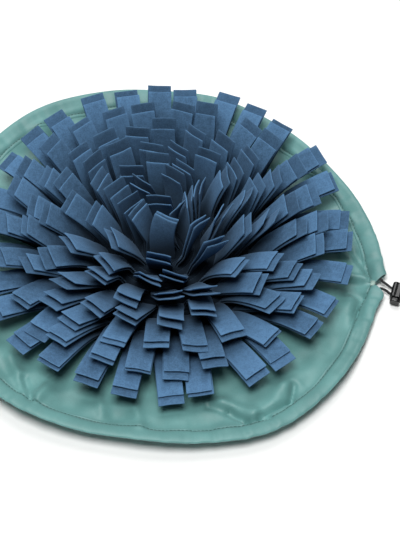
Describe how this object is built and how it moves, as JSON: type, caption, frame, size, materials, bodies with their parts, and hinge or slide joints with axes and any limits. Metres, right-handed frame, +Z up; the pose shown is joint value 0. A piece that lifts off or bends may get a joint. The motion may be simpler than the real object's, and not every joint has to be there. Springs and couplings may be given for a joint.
{
  "type": "snuffle bowl",
  "caption": "Round cloth dish with a drawstring hem, filled with rings of standing doubled felt strips that hide dry food; an elastic drawcord with a cord lock gathers the rim.",
  "frame": {"origin": "middle of the flat underside of the dish, on the floor", "axes": "+Z up; -Y towards the side the picture was taken from; +X towards the cord lock"},
  "size_m": [0.525, 0.4338, 0.0764],
  "materials": {
    "coated_cloth": "woven, thin coating, soft sheen",
    "felt": "matt, fibrous",
    "elastic_cord": "braided, matt",
    "lock_plastic": "smooth, glossy"
  },
  "bodies": {
    "dish": {"base_cloth": "coated_cloth", "felt_ring_1": "felt", "felt_ring_2": "felt", "felt_ring_3": "felt", "felt_ring_4": "felt", "felt_ring_5": "felt", "felt_ring_6": "felt", "felt_ring_7": "felt", "felt_ring_8": "felt", "lock_shell": "lock_plastic", "cord_knot": "elastic_cord", "cord_back": "elastic_cord", "cord_front": "elastic_cord"},
    "lock_button": {"lock_button": "lock_plastic"}
  },
  "joints": [
    {"name": "button_press", "type": "slide", "parent": "dish", "child": "lock_button", "axis": [0.2924, 0.9563, 0], "range_m": [0, 0.0025], "stiffness_N_per_m": 600}
  ]
}
